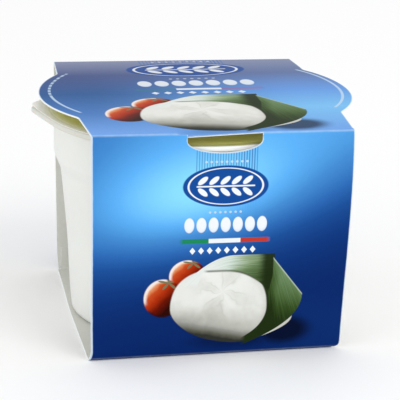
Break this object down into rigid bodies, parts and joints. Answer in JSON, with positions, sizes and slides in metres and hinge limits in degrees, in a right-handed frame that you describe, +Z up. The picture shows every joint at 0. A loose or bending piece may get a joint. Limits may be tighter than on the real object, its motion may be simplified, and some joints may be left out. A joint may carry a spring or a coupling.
{
  "type": "burrata pot in a card sleeve",
  "caption": "Round plastic pot of fresh cheese, shut with a peel-off film, in a printed one-piece card sleeve with round ears and thumb notches.",
  "frame": {"origin": "centre of the sleeve's base, on the surface it stands on", "axes": "+Z up; -Y is the sleeve's front panel and +Y its back panel; the open sides and the ears face +X and -X, with the pull tab at -X"},
  "size_m": [0.0974, 0.0932, 0.0683],
  "materials": {
    "tub_plastic": "satin white polypropylene, slightly translucent",
    "lid_film": "thin peelable film, satin, tinted",
    "sleeve_board": "coated board, printed blue outside with a satin varnish, uncoated pale grey inside, white cut edges"
  },
  "bodies": {
    "root": {"tub": "tub_plastic", "lid_film": "lid_film", "sleeve": "sleeve_board"}
  },
  "joints": []
}
